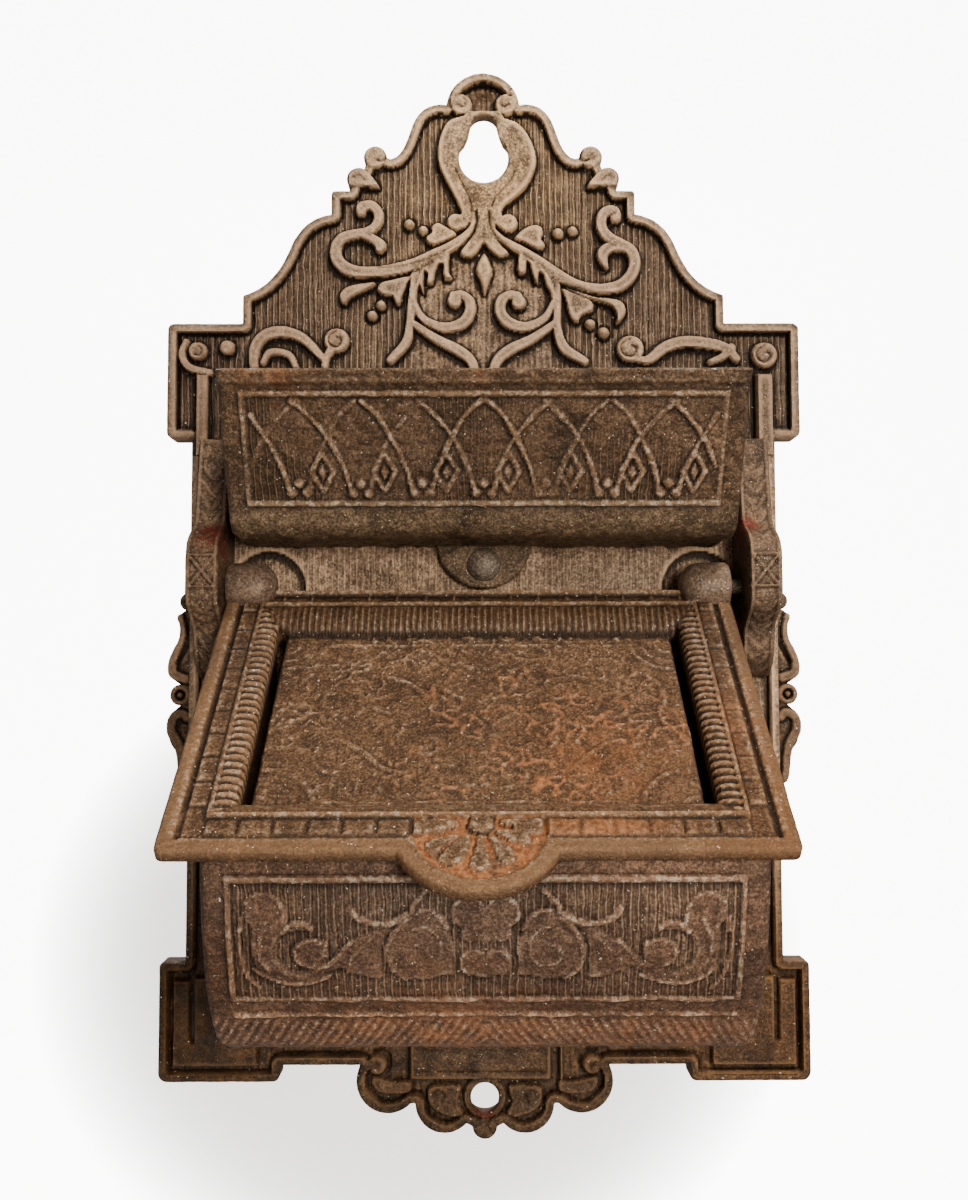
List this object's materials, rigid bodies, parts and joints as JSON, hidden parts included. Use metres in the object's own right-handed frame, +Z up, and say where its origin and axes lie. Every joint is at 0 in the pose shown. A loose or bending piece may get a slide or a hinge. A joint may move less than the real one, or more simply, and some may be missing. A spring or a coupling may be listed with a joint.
{
  "type": "match holder",
  "caption": "Cast iron wall match holder: pierced ornamental back plate, open pocket for burnt matches, bow-fronted match box with a sloping hinged lid that falls shut.",
  "frame": {"origin": "on the flat rear face of the back plate, which lies against the wall, on its middle line and 86.95 mm above its lowest point", "axes": "+X across to the viewer's right, +Y into the wall, +Z up"},
  "size_m": [0.1074, 0.0588, 0.1795],
  "materials": {
    "plate_iron": "cast, aged to a dark bronze brown, worn lighter on raised scrolls",
    "pocket_iron": "cast, dark brown, rough and dusty",
    "box_iron": "cast, dark reddish brown, dull",
    "lid_iron": "cast, satin worn rim with orange rust in the middle",
    "pin_steel": "dark, lightly rusted",
    "rivet_iron": "dark, hammered dome"
  },
  "bodies": {
    "holder": {"back_plate": "plate_iron", "upper_pocket": "pocket_iron", "box_body": "box_iron", "hinge_pin_right": "pin_steel", "hinge_pin_left": "pin_steel", "pocket_rivet": "rivet_iron", "box_rivet_left": "rivet_iron", "box_rivet_right": "rivet_iron"},
    "lid": {"lid": "lid_iron"}
  },
  "joints": [
    {"name": "lid_hinge", "type": "hinge", "parent": "holder", "child": "lid", "pos_m": [0, -0.0085, 0.0034], "axis": [-1, 0, 0], "range_deg": [0, 74]}
  ]
}
